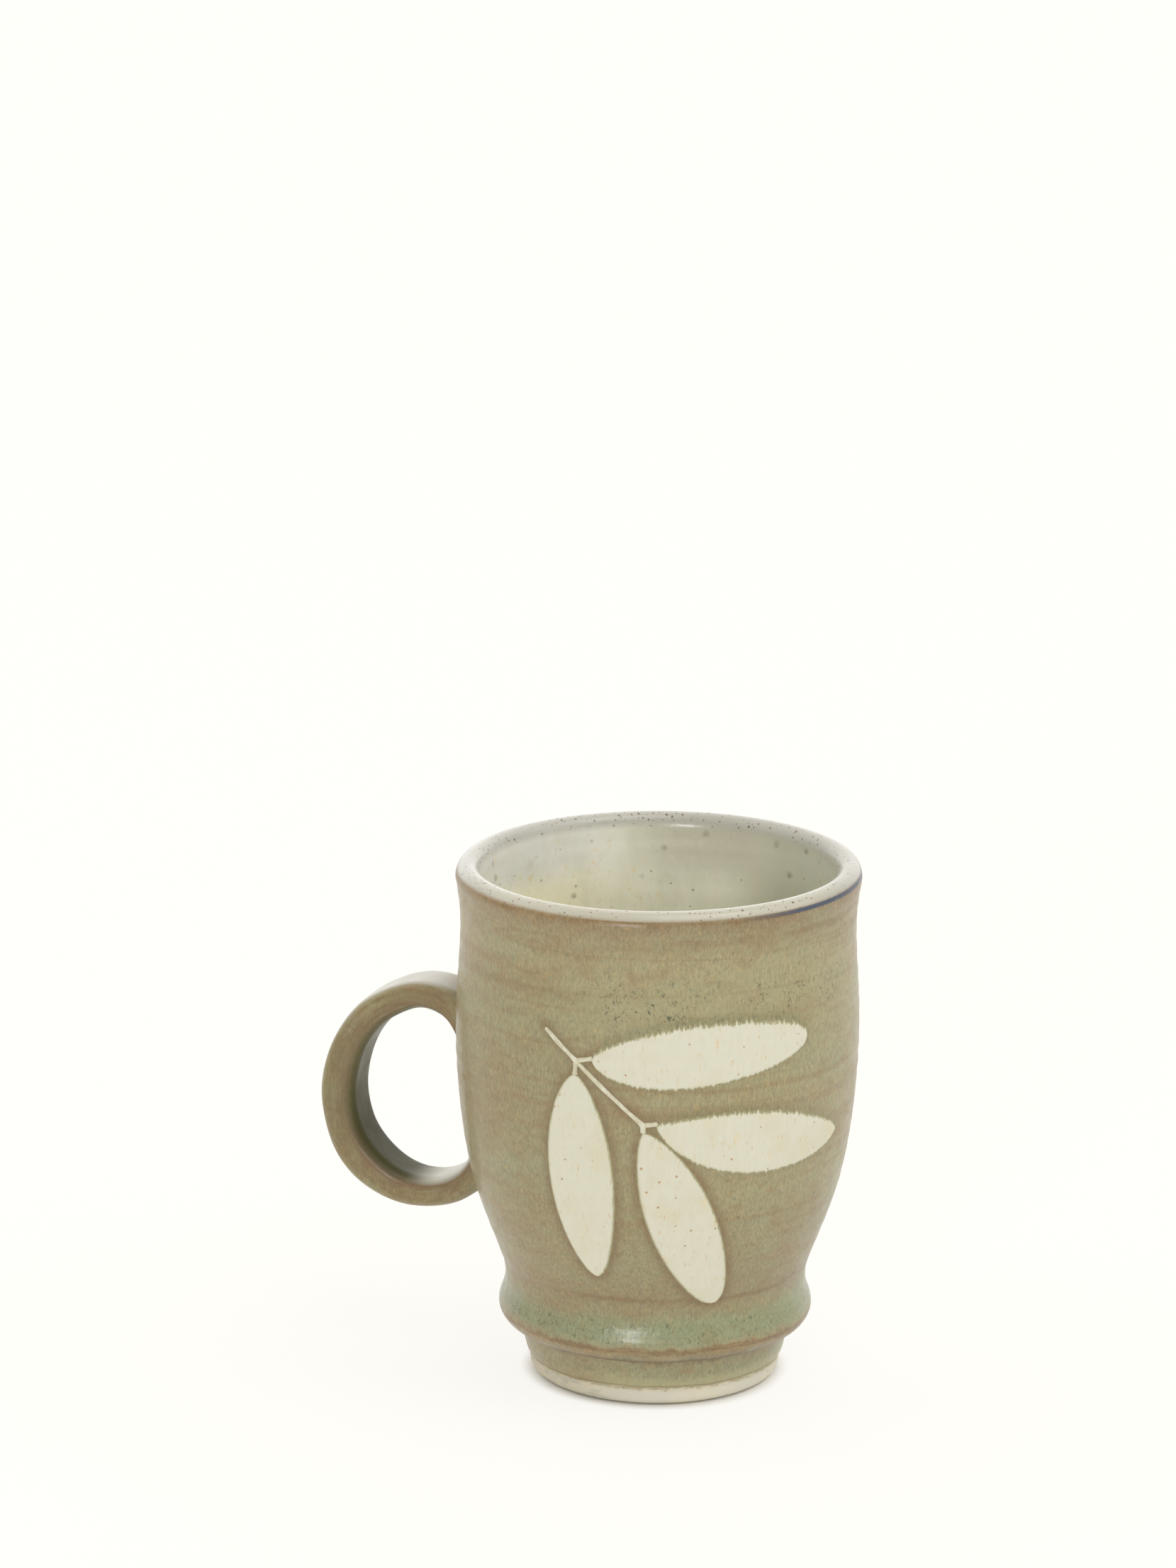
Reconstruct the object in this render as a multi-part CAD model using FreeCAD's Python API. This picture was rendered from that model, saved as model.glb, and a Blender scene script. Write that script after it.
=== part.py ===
import FreeCAD, Part
import os
from math import cos, hypot, log, pi, radians, sin

from FreeCAD import Vector

# A hand-thrown stoneware mug: a clay cup on a turned foot, a pulled strap handle luted on with
# slip, a cream liner glaze, an olive outer glaze, and a sprig of four cream leaves on the wall.
#
# Millimetres. The origin is the centre of the base where the mug stands, +Z is up the cup's axis,
# the handle points along -X, and the sprig faces -Y, a little towards +X.

# Cup. Radii and heights are those of the finished surface, glaze included.
MUG_HEIGHT = 112.0
GLAZE_THICKNESS = 0.35
BASE_RADIUS = 24.6
FOOT_EDGE = (26.9, 3.2)            # (radius, height) where the foot's rounded lower edge ends
FOOT_SWELL = (26.3, 0.95)          # a point on that rounded edge, fuller than a straight bevel
FOOT_TOP = (28.6, 10.6)            # inner corner under the bead
FOOT_GLAZE_LINE = 4.2              # the outer glaze stops here and the clay below is bare
BEAD_LINE = [FOOT_TOP, (31.9, 12.1), (33.3, 14.9), (32.3, 18.9), (32.0, 22.0), (32.5, 25.0)]
WALL_LINE = [(32.5, 25.0), (35.0, 31.6), (38.5, 41.6), (41.1, 54.3), (42.4, 68.5),
             (42.5, 82.0), (41.8, 93.8), (41.8, 102.2), (42.7, 108.9)]
LIP_WIDTH = 5.2                    # wall thickness where the lip starts to round over
LIP_GLAZE_ANGLE = 27.0             # degrees up the lip's round, where olive meets cream
BOWL_LINE = [(36.9, 100.0), (37.5, 84.0), (37.4, 68.0), (36.0, 52.0), (32.6, 38.0),
             (26.4, 25.5), (16.0, 16.6), (0.0, 13.2)]

# Handle: a strap that leaves the wall near the top, rounds out and comes back low on the wall,
# spreading at both roots. Each row crosses the finished strap, glaze included, and gives
# (distance from the cup's axis, height) first on its outer side and then on its inner side.
STRAP_ROWS = [
    ((40.2, 77.2), (40.6, 63.8)), ((42.4, 78.9), (42.2, 67.8)), ((45.2, 80.5), (43.6, 70.7)),
    ((49.0, 81.4), (46.0, 73.6)), ((54.2, 81.0), (50.6, 75.2)), ((59.5, 79.2), (55.2, 74.2)),
    ((65.0, 75.7), (59.8, 71.3)), ((69.7, 70.0), (63.4, 67.0)), ((72.8, 63.5), (65.5, 62.0)),
    ((74.3, 56.0), (66.6, 55.5)), ((73.9, 49.6), (66.0, 49.6)), ((71.8, 42.8), (63.9, 45.0)),
    ((67.6, 36.8), (60.0, 40.8)), ((61.8, 33.0), (55.4, 38.3)), ((55.0, 31.0), (50.6, 37.6)),
    ((48.2, 31.2), (46.4, 38.3)), ((43.0, 32.8), (43.0, 40.3)), ((39.6, 34.9), (40.9, 42.8)),
    ((37.2, 36.8), (39.4, 46.2)), ((35.4, 38.3), (38.3, 49.0)),
]
STRAP_WIDTH = 12.3                 # glaze included
STRAP_EDGE_ROUND = 2.45
SHORTEST_LONG_EDGE = 40.0          # the strap's edges longer than this run from root to root

# Slip joints: a low collar of slip round each root of the handle. (distance from axis, height)
UPPER_JOINT = (41.9, 73.5)
LOWER_JOINT = (38.1, 41.3)
JOINT_REACH = 3.8                  # how far a collar climbs out along the strap
JOINT_HALF_WIDTH = 6.9
JOINT_HALF_HEIGHT = 6.6

# Sprig: angles are in degrees about the cup's axis from -Y towards +X, heights in millimetres.
LEAF_RELIEF = 0.45                 # how far leaves and stem stand out of the outer glaze
STEM_WIDTH = 1.0
STEM_TIP = (-15.0, 86.0)
UPPER_FORK = (-5.0, 79.9)
LOWER_FORK = (14.2, 67.0)
# name, (base angle, base height), (tip angle, tip height), then for the side on the left of the
# way from base to tip and for the side on its right: (belly in mm, how far along it is fullest),
# and last the bluntness of the ends: towards 0 they are rounder, towards 1 they are more pointed
LEAVES = [
    ("leaf_upper_right", (-0.4, 80.7), (64.6, 82.9), (6.7, 0.50), (7.1, 0.40), 0.45),
    ("leaf_hanging", (-5.3, 77.0), (-2.0, 31.0), (6.9, 0.48), (7.6, 0.46), 0.55),
    ("leaf_right", (18.0, 67.3), (81.4, 59.4), (5.2, 0.54), (9.0, 0.42), 0.62),
    ("leaf_diagonal", (14.3, 65.4), (40.6, 24.6), (7.1, 0.50), (7.0, 0.52), 0.55),
]
LEAF_EDGE_SPANS = 8
# the lines of the stem and of the short stalks that join the leaves to it
STEM_LINES = [
    (STEM_TIP, UPPER_FORK), (UPPER_FORK, LOWER_FORK), (UPPER_FORK, LEAVES[0][1]),
    (UPPER_FORK, LEAVES[1][1]), (LOWER_FORK, LEAVES[2][1]), (LOWER_FORK, LEAVES[3][1]),
]

AXIS = Vector(0, 0, 1)
CENTRE = Vector(0, 0, 0)
OUTSIDE = 60.0                     # farther from the axis than any wall
WITHIN = 12.0                      # nearer the axis than any wall


def on_profile(radius, height):
    return Vector(radius, 0, height)


def line(start, end):
    return Part.LineSegment(on_profile(*start), on_profile(*end)).toShape()


def curve(points, first_tangent=None, last_tangent=None):
    """A smooth edge through profile points, with end tangents where both are given."""
    spline = Part.BSplineCurve()
    vectors = [on_profile(*point) for point in points]
    if first_tangent is None:
        spline.interpolate(vectors)
    else:
        spline.interpolate(Points=vectors, InitialTangent=first_tangent,
                           FinalTangent=last_tangent)
    return spline.toShape()


def turned(edges):
    """The solid that a closed profile makes about the cup's axis."""
    return Part.Face(Part.Wire(Part.__sortEdges__(edges))).revolve(CENTRE, AXIS, 360)


def solid_of(shape):
    """The one solid that a boolean's result should hold."""
    solids = shape.removeSplitter().Solids
    if len(solids) != 1:
        raise ValueError("expected one solid, got %d" % len(solids))
    return solids[0]


def lip_arc(inset, first_degrees, last_degrees, steps=6):
    """Points round the lip's half ellipse; 0 degrees is outermost and 180 innermost."""
    shoulder = WALL_LINE[-1]
    middle = shoulder[0] - LIP_WIDTH / 2
    half_width = LIP_WIDTH / 2 - inset
    rise = MUG_HEIGHT - shoulder[1] - inset
    angles = [radians(first_degrees + (last_degrees - first_degrees) * i / steps)
              for i in range(steps + 1)]
    return [(middle + half_width * cos(a), shoulder[1] + rise * sin(a)) for a in angles]


def outside_edges(inset):
    """The outer surface from the glaze line on the foot up to where the liner glaze begins.

    inset is the depth below the finished surface: 0 for the glaze, more for the clay under it,
    and less than 0 for what stands out of the glaze.
    """
    glaze_start = (foot_radius(FOOT_GLAZE_LINE) - inset, FOOT_GLAZE_LINE)
    bead = [(r - inset, z) for r, z in BEAD_LINE]
    wall = [(r - inset, z) for r, z in WALL_LINE]
    return [line(glaze_start, bead[0]), curve(bead), curve(wall),
            curve(lip_arc(inset, 0, LIP_GLAZE_ANGLE, 3))]


def inside_edges(inset):
    """The inner surface from the edge of the olive glaze, over the lip and down to the floor."""
    bowl = [(r + inset if r > 0 else 0.0, z - inset * (1 - r / BOWL_LINE[0][0]))
            for r, z in BOWL_LINE]
    over_lip = lip_arc(inset, LIP_GLAZE_ANGLE, 180, 8)
    straight_down = Vector(0, 0, -1)
    to_the_centre = Vector(-1, 0, 0)
    return [curve(over_lip), curve([over_lip[-1]] + bowl, straight_down, to_the_centre)]


def foot_radius(height):
    """The foot's glazed radius at a height between its rounded edge and the bead."""
    (low_r, low_z), (high_r, high_z) = FOOT_EDGE, FOOT_TOP
    return low_r + (high_r - low_r) * (height - low_z) / (high_z - low_z)


def foot_edges(inset):
    """The base, the foot's rounded lower edge and its bare side, up to the glaze line."""
    edge = (FOOT_EDGE[0] - inset, FOOT_EDGE[1])
    swell = (FOOT_SWELL[0] - inset, FOOT_SWELL[1])
    base_corner = (BASE_RADIUS - inset, 0.0)
    rounded = Part.Arc(on_profile(*base_corner), on_profile(*swell), on_profile(*edge)).toShape()
    side = line(edge, (foot_radius(FOOT_GLAZE_LINE) - inset, FOOT_GLAZE_LINE))
    return [line((0.0, 0.0), base_corner), rounded, side]


def clay_cup():
    inset = GLAZE_THICKNESS
    floor_height = BOWL_LINE[-1][1] - inset
    axis_edge = line((0.0, 0.0), (0.0, floor_height))
    return turned(foot_edges(inset) + outside_edges(inset) + inside_edges(inset) + [axis_edge])


def filled_cup(inset):
    """The cup with its hollow filled, used to trim what is stuck to the outside."""
    lip = lip_arc(inset, LIP_GLAZE_ANGLE, 90, 3)
    top_centre = (0.0, lip[-1][1])
    edges = foot_edges(inset) + outside_edges(inset)
    edges += [curve(lip), line(lip[-1], top_centre), line((0.0, 0.0), top_centre)]
    return turned(edges)


def outside_coat(under, over):
    """A coat on the outer surface between two insets, from the foot's glaze line to the lip."""
    foot = foot_radius(FOOT_GLAZE_LINE)
    at_the_foot = line((foot - over, FOOT_GLAZE_LINE), (foot - under, FOOT_GLAZE_LINE))
    top_over = lip_arc(over, 0, LIP_GLAZE_ANGLE)[-1]
    top_under = lip_arc(under, 0, LIP_GLAZE_ANGLE)[-1]
    at_the_lip = line(top_over, top_under)
    return turned(outside_edges(under) + outside_edges(over) + [at_the_foot, at_the_lip])


def liner_glaze():
    """The cream coat of the inside, carried over the lip to meet the olive coat."""
    under = GLAZE_THICKNESS
    floor = BOWL_LINE[-1][1]
    edge_over = lip_arc(0.0, LIP_GLAZE_ANGLE, 180)[0]
    edge_under = lip_arc(under, LIP_GLAZE_ANGLE, 180)[0]
    at_the_lip = line(edge_over, edge_under)
    at_the_axis = line((0.0, floor), (0.0, floor - under))
    return turned(inside_edges(0.0) + inside_edges(under) + [at_the_lip, at_the_axis])


def strap(inset):
    """The handle's strap, inset below its finished surface, with its ends inside the wall."""
    outer, inner = [], []
    for outer_place, inner_place in STRAP_ROWS:
        on_outer = on_profile(-outer_place[0], outer_place[1])
        on_inner = on_profile(-inner_place[0], inner_place[1])
        inward = (on_inner - on_outer).normalize() * inset
        outer.append(on_outer + inward)
        inner.append(on_inner - inward)
    loop = [edge_through(outer), edge_through(inner),
            Part.LineSegment(outer[0], inner[0]).toShape(),
            Part.LineSegment(outer[-1], inner[-1]).toShape()]
    face = Part.Face(Part.Wire(Part.__sortEdges__(loop)))
    width = STRAP_WIDTH - 2 * inset
    face.translate(Vector(0, -width / 2, 0))
    block = face.extrude(Vector(0, width, 0))
    long_edges = [e for e in block.Edges if e.Length > SHORTEST_LONG_EDGE]
    return block.makeFillet(STRAP_EDGE_ROUND - inset, long_edges)


def edge_through(vectors):
    spline = Part.BSplineCurve()
    spline.interpolate(vectors)
    return spline.toShape()


def joint_collar(place, extra):
    """A low mound of slip centred on the wall where the strap meets it."""
    stretch = FreeCAD.Matrix()
    stretch.scale(Vector(JOINT_REACH + extra, JOINT_HALF_WIDTH + extra,
                         JOINT_HALF_HEIGHT + extra))
    mound = Part.makeSphere(1.0).transformGeometry(stretch)
    mound.translate(Vector(-place[0], 0, place[1]))
    return mound


def surface_point(angle, height, reach):
    """A point at an angle round the cup, reach from its axis."""
    a = radians(angle)
    return Vector(reach * sin(a), -reach * cos(a), height)


def wall_radius(height):
    """The glazed wall's radius at a height, by straight steps between the wall's points."""
    for (r0, z0), (r1, z1) in zip(WALL_LINE, WALL_LINE[1:]):
        if z0 <= height <= z1:
            return r0 + (r1 - r0) * (height - z0) / (z1 - z0)
    return WALL_LINE[0][0]


def facing_prism(outline, facing):
    """Pushes a flat outline through one side of the wall, towards the angle facing.

    outline holds the outline's sides; a side is a list of (across, height) places, two for a
    straight side and more for a smooth one.
    """
    outward = surface_point(facing, 0, 1.0)
    sideways = surface_point(facing + 90, 0, 1.0)
    edges = []
    for side in outline:
        points = [sideways * across + AXIS * up + outward * WITHIN for across, up in side]
        if len(points) == 2:
            edges.append(Part.LineSegment(points[0], points[1]).toShape())
        else:
            edges.append(edge_through(points))
    face = Part.Face(Part.Wire(Part.__sortEdges__(edges)))
    return face.extrude(outward * OUTSIDE)


def flat_place(angle, height, facing):
    """Where a point of the wall lies in the plane square to the direction facing."""
    return (wall_radius(height) * sin(radians(angle - facing)), height)


def leaf_side(base, tip, belly, full, bluntness):
    """One side of a leaf from base to tip. A positive belly swells to the left of the way."""
    length = hypot(tip[0] - base[0], tip[1] - base[1])
    along = ((tip[0] - base[0]) / length, (tip[1] - base[1]) / length)
    places = []
    for i in range(LEAF_EDGE_SPANS + 1):
        # places crowd towards both ends, where the side turns fastest
        share = (1 - cos(pi * i / LEAF_EDGE_SPANS)) / 2
        # the sine's crest is moved to where the belly is fullest
        crest_moved = share ** (log(0.5) / log(full))
        swell = belly * sin(pi * crest_moved) ** bluntness if i % LEAF_EDGE_SPANS else 0.0
        places.append((base[0] + along[0] * length * share - along[1] * swell,
                       base[1] + along[1] * length * share + along[0] * swell))
    return places


def leaf(base, tip, left, right, bluntness, relief_coat, stem):
    """A cream leaf standing out of the glaze, cut clear of the stem."""
    facing = (base[0] + tip[0]) / 2
    flat_base = flat_place(base[0], base[1], facing)
    flat_tip = flat_place(tip[0], tip[1], facing)
    outline = [leaf_side(flat_base, flat_tip, left[0], left[1], bluntness),
               leaf_side(flat_base, flat_tip, -right[0], right[1], bluntness)]
    return solid_of(relief_coat.common(facing_prism(outline, facing)).cut(stem))


def stem_line(start, end, relief_coat):
    """A thin raised line between two places on the wall, each (angle, height)."""
    facing = (start[0] + end[0]) / 2
    x0, z0 = flat_place(start[0], start[1], facing)
    x1, z1 = flat_place(end[0], end[1], facing)
    length = hypot(x1 - x0, z1 - z0)
    # the line runs on by half its width at each end, so that lines meet squarely
    dx, dz = (x1 - x0) / length * STEM_WIDTH / 2, (z1 - z0) / length * STEM_WIDTH / 2
    corners = [(x0 - dx - dz, z0 - dz + dx), (x1 + dx - dz, z1 + dz + dx),
               (x1 + dx + dz, z1 + dz - dx), (x0 - dx + dz, z0 - dz - dx)]
    outline = [[corners[i], corners[(i + 1) % 4]] for i in range(4)]
    return relief_coat.common(facing_prism(outline, facing))


def leaf_stem(relief_coat):
    lines = [stem_line(start, end, relief_coat) for start, end in STEM_LINES]
    return solid_of(lines[0].multiFuse(lines[1:]))


def handle_parts():
    """The strap, its two slip joints, the coat over them, and what the coat takes up."""
    clay_inside = filled_cup(GLAZE_THICKNESS)
    bare_strap = strap(GLAZE_THICKNESS)
    parts = {"handle_strap": solid_of(bare_strap.cut(clay_inside))}
    for name, place in (("upper_slip_joint", UPPER_JOINT), ("lower_slip_joint", LOWER_JOINT)):
        parts[name] = solid_of(joint_collar(place, 0.0).cut(bare_strap).cut(clay_inside))
    thickness = GLAZE_THICKNESS
    coated = strap(0.0).multiFuse([joint_collar(UPPER_JOINT, thickness),
                                         joint_collar(LOWER_JOINT, thickness)])
    coat = coated.cut(clay_inside)
    for part in list(parts.values()):
        coat = coat.cut(part)
    parts["handle_glaze"] = solid_of(coat)
    return parts, coated


def build():
    parts, coated_handle = handle_parts()
    parts["clay_cup"] = clay_cup()
    parts["liner_glaze"] = liner_glaze()
    parts["wall_glaze"] = solid_of(outside_coat(GLAZE_THICKNESS, 0.0).cut(coated_handle))
    relief_coat = outside_coat(0.0, -LEAF_RELIEF)
    stem = leaf_stem(relief_coat)
    parts["leaf_stem"] = stem
    for name, base, tip, left, right, bluntness in LEAVES:
        parts[name] = leaf(base, tip, left, right, bluntness, relief_coat, stem)
    return parts


os.makedirs("parts", exist_ok=True)
for node, shape in build().items():
    if not shape.isValid():
        raise ValueError("%s is not valid" % node)
    shape.exportStep("parts/%s.step" % node)
    print("%-18s %10.1f mm3" % (node, shape.Volume))
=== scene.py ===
from math import cos, hypot, log, pi, radians, sin

import bmesh
import bpy
import numpy as np
from mathutils import Matrix, Vector


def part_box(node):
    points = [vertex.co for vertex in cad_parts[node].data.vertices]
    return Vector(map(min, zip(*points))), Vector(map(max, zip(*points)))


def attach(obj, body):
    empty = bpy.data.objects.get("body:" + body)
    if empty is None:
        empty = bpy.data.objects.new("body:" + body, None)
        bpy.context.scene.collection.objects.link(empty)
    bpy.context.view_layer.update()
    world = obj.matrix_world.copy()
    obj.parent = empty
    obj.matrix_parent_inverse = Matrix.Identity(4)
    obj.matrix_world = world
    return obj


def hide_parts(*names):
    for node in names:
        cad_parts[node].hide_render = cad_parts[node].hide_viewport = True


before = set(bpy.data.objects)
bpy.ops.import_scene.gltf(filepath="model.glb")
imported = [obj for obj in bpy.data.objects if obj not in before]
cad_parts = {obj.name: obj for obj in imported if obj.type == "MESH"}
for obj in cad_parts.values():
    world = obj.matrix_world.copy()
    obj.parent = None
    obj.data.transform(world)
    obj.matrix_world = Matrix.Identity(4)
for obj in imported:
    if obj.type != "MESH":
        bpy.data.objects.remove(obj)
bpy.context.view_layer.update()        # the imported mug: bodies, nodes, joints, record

scene = bpy.context.scene
MM = 0.001               # the script's own units are millimetres; meshes are written in metres

# -------- the mug's dimensions, from CAD
MUG_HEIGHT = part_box("liner_glaze")[1][2] / MM
GLAZE = 0.35             # thickness of every glaze coat
BASE_RADIUS = 24.6
FOOT_EDGE = (26.9, 3.2)
FOOT_SWELL = (26.3, 0.95)
FOOT_TOP = (28.6, 10.6)
GLAZE_LINE = 4.2         # height on the foot where the olive glaze stops
BEAD_LINE = [FOOT_TOP, (31.9, 12.1), (33.3, 14.9), (32.3, 18.9), (32, 22), (32.5, 25)]
WALL_LINE = [(32.5, 25), (35, 31.6), (38.5, 41.6), (41.1, 54.3), (42.4, 68.5),
             (42.5, 82), (41.8, 93.8), (41.8, 102.2), (42.7, 108.9)]
LIP_WIDTH = 5.2
LIP_GLAZE_ANGLE = 27
BOWL_LINE = [(36.9, 100), (37.5, 84), (37.4, 68), (36, 52), (32.6, 38),
             (26.4, 25.5), (16, 16.6), (0, 13.2)]
STRAP_ROWS = [
    ((40.2, 77.2), (40.6, 63.8)), ((42.4, 78.9), (42.2, 67.8)), ((45.2, 80.5), (43.6, 70.7)),
    ((49, 81.4), (46, 73.6)), ((54.2, 81), (50.6, 75.2)), ((59.5, 79.2), (55.2, 74.2)),
    ((65, 75.7), (59.8, 71.3)), ((69.7, 70), (63.4, 67)), ((72.8, 63.5), (65.5, 62)),
    ((74.3, 56), (66.6, 55.5)), ((73.9, 49.6), (66, 49.6)), ((71.8, 42.8), (63.9, 45)),
    ((67.6, 36.8), (60, 40.8)), ((61.8, 33), (55.4, 38.3)), ((55, 31), (50.6, 37.6)),
    ((48.2, 31.2), (46.4, 38.3)), ((43, 32.8), (43, 40.3)), ((39.6, 34.9), (40.9, 42.8)),
    ((37.2, 36.8), (39.4, 46.2)), ((35.4, 38.3), (38.3, 49)),
]
STRAP_WIDTH = 12.3
STRAP_EDGE_ROUND = 2.45
ROOT_SMEAR = 1.1         # how much each side of the strap spreads where it meets the wall
ROOT_SMEAR_REACH = 0.9
JOINTS = {"upper_slip_joint": (41.9, 73.5), "lower_slip_joint": (38.1, 41.3)}
SLIP_RADII = (2.1, 4.8, 3.6)
LEAF_RELIEF = 0.26       # how proud of the glaze the finished leaves look
LEAF_DEPTH = 0.12        # how far they reach into it
STEM_WIDTH = 1
STEM_TIP = (-15, 86)
UPPER_FORK = (-5, 79.9)
LOWER_FORK = (14.2, 67)
LEAVES = {
    "leaf_upper_right": ((-0.4, 80.7), (64.6, 82.9), (6.7, 0.5), (7.1, 0.4), 0.45),
    "leaf_hanging": ((-5.3, 77), (-2, 31), (6.9, 0.48), (7.6, 0.46), 0.55),
    "leaf_right": ((18, 67.3), (81.4, 59.4), (5.2, 0.54), (9, 0.42), 0.62),
    "leaf_diagonal": ((14.3, 65.4), (40.6, 24.6), (7.1, 0.5), (7, 0.52), 0.55),
}
PLAIN_TIP = -0.18        # how pointed a leaf's tip is; nearer 0 is rounder
TIP_POINT = {"leaf_hanging": -0.09}
STEM_LINES = [(STEM_TIP, UPPER_FORK), (UPPER_FORK, LOWER_FORK),
              (UPPER_FORK, LEAVES["leaf_upper_right"][0]), (UPPER_FORK, LEAVES["leaf_hanging"][0]),
              (LOWER_FORK, LEAVES["leaf_right"][0]), (LOWER_FORK, LEAVES["leaf_diagonal"][0])]
STEM_FLARES = [(0, 0.6), (0.6, 0.6), (0.5, 0.7), (0.5, 0.9), (0.5, 0.7), (0.5, 0.9)]
FLARE_REACH = 0.8
SPRIG_RADIUS = 41.0      # turns the sprig's degrees into millimetres along the wall

# -------- small irregularities of a hand
RIM_TILT = 0.0065        # the rim's rise per millimetre towards TILT_HEADING
TILT_HEADING = 18.0      # degrees from +X towards +Y
TILT_REACH = 41.0        # the lip's radius, where the rise stops at the mug's full height
EVEN_WITHIN = 20.0       # towards the axis from this radius the unevenness fades away
EDGE_FADES_BY = 9.0      # height by which the glaze's lower edge stops wandering
EDGE_THINNING = 0.24     # how much thinner the glaze is at that edge
EDGE_THINS_WITHIN = 0.5
# how brown each leaf's surround is: at its base, and over the rest of it
HALO = {"leaf_upper_right": (1, 0.15), "leaf_hanging": (1, 1),
        "leaf_right": (1, 0.22), "leaf_diagonal": (1, 1)}
HALO_BASE = 0.3          # the share of the leaf that counts as its base
HALO_REACH = 1.5
# how far the glaze's bristles run over each leaf, on the left and right of its way
FRINGE = {"leaf_upper_right": (1.2, 0.68), "leaf_hanging": (0.13, 0.14),
          "leaf_right": (0.8, 0.58), "leaf_diagonal": (0.18, 0.14)}

# -------- light and view
SOFT_BOX = {"place": (1, 13), "target": (0, 0, 0.06), "distance": 1.5, "size": (0.36, 0.22),
            "energy": 4.6}
# azimuth, elevation, energy, spread
SUNS = {"left": (-78, 42, 0.41, 50), "right": (100, 42, 0.68, 50),
        "top": (58, 68, 0.8, 40)}
ROOM_COLOUR = (1, 0.995, 0.985, 1)
ROOM_STRENGTH, BACKDROP_STRENGTH = 0.48, 1.5
BACKDROP_ELEVATION = 24
BACKDROP_SPREAD = (0.35, 0.95)
FLOOR_GLOW = (1, 0.984, 0.942, 1)
FLOOR_GLOW_STRENGTH = 0.865
CAMERA_AZIMUTH = 18.0    # degrees from -Y towards +X, where the camera stands
CAMERA_DISTANCE = 1296.8
CAMERA_HEIGHT = 466
CAMERA_PITCH = 14.607
CAMERA_YAW = -0.662
CAMERA_ROLL = 0.38
CAMERA_LENS = 147.36

# -------- fineness of the meshes
SEEN_STEP = 0.6          # spacing of profile points where the surface shows
UNSEEN_STEP = 1.1        # and on sides that nobody sees
PLAIN_STEP = 5.0         # and on the hidden side of the plain wall
PLAIN_ABOVE = 24.0       # the height where the plain wall starts
CLAY_FINE_BELOW = 8
LINER_STEP = 0.9
FOOT_STEP = 0.25
AXIS_CLEAR = 0.6         # hidden profiles stop this far from the axis, and then meet on it
WALL_COLUMNS, LINER_COLUMNS, CLAY_COLUMNS = 380, 420, 360
STEM_TURNS = 12


# ======== curves
def natural_spline(points, knots, where):
    """The natural cubic spline through points at knots, read off at where."""
    count = len(points)
    gap = np.diff(knots)
    system = np.eye(count)
    right = np.zeros(points.shape)
    for i in range(1, count - 1):
        system[i, i - 1:i + 2] = gap[i - 1], 2 * (gap[i - 1] + gap[i]), gap[i]
        right[i] = 6 * ((points[i + 1] - points[i]) / gap[i]
                        - (points[i] - points[i - 1]) / gap[i - 1])
    bend = np.linalg.solve(system, right)
    i = np.clip(np.searchsorted(knots, where) - 1, 0, count - 2)
    a, b, h = (knots[i + 1] - where)[:, None], (where - knots[i])[:, None], gap[i][:, None]
    return ((bend[i] * a ** 3 + bend[i + 1] * b ** 3) / (6 * h)
            + (points[i] / h - bend[i] * h / 6) * a
            + (points[i + 1] / h - bend[i + 1] * h / 6) * b)


def travelled(points):
    """The distance along the line up to each of its points."""
    steps = np.linalg.norm(np.diff(points, axis=0), axis=1)
    return np.concatenate([[0], np.cumsum(steps)])


def smooth_line(points, step):
    """Points every step along the spline through points, ends kept."""
    points = np.array(points, float)
    knots = travelled(points)
    where = np.linspace(0, knots[-1], max(2, int(round(knots[-1] / step)) + 1))
    return natural_spline(points, knots, where)


def thinned(points, step):
    """The same line with its points about step apart, for a side nobody sees."""
    way = travelled(points)
    where = np.linspace(0, way[-1], max(3, int(way[-1] / step)))
    return np.stack([np.interp(where, way, points[:, k]) for k in range(2)], 1)


def inset_line(points, depth):
    """The line moved depth to the left of its way, which is into the clay."""
    along = np.gradient(points, axis=0)
    along /= np.linalg.norm(along, axis=1)[:, None]
    return points + depth * np.stack([-along[:, 1], along[:, 0]], 1)


def lip_arc(inset, first, last, steps):
    """Points round the lip's half ellipse, 0 degrees outermost and 180 innermost."""
    shoulder = WALL_LINE[-1]
    middle = shoulder[0] - LIP_WIDTH / 2
    a = np.radians(np.linspace(first, last, steps + 1))
    rise = MUG_HEIGHT - shoulder[1] - inset
    return np.stack([middle + (LIP_WIDTH / 2 - inset) * np.cos(a),
                     shoulder[1] + rise * np.sin(a)], 1)


def foot_radius(height):
    (low_r, low_z), (high_r, high_z) = FOOT_EDGE, FOOT_TOP
    return low_r + (high_r - low_r) * (height - low_z) / (high_z - low_z)


def outer_line(step):
    """The glazed outside from the foot's glaze line to where the liner starts on the lip."""
    foot = smooth_line([(foot_radius(GLAZE_LINE), GLAZE_LINE), FOOT_TOP], step)
    return np.concatenate([foot[:-1], smooth_line(BEAD_LINE, step)[:-1],
                           smooth_line(WALL_LINE, step)[:-1], lip_arc(0, 0, LIP_GLAZE_ANGLE, 5)])


def inner_line(step):
    """The glazed inside from the edge of the olive glaze, over the lip, to the floor's centre."""
    lip = lip_arc(0, LIP_GLAZE_ANGLE, 180, 26)
    return np.concatenate([lip[:-1], smooth_line([tuple(lip[-1])] + BOWL_LINE, step)])


OUTER = outer_line(SEEN_STEP)


def wall_radius(height):
    return np.interp(height, OUTER[:, 1], OUTER[:, 0])


# ======== hand-made unevenness
RANDOM = np.random.default_rng(411)
WAVES = [(RANDOM.integers(1, 4), RANDOM.uniform(-0.05, 0.05), RANDOM.uniform(0, 2 * pi), 0.035)
         for _ in range(5)]
RINGS = [(RANDOM.uniform(0.9, 2.4), RANDOM.uniform(0, 2 * pi), RANDOM.uniform(0.008, 0.02))
         for _ in range(7)]


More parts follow.
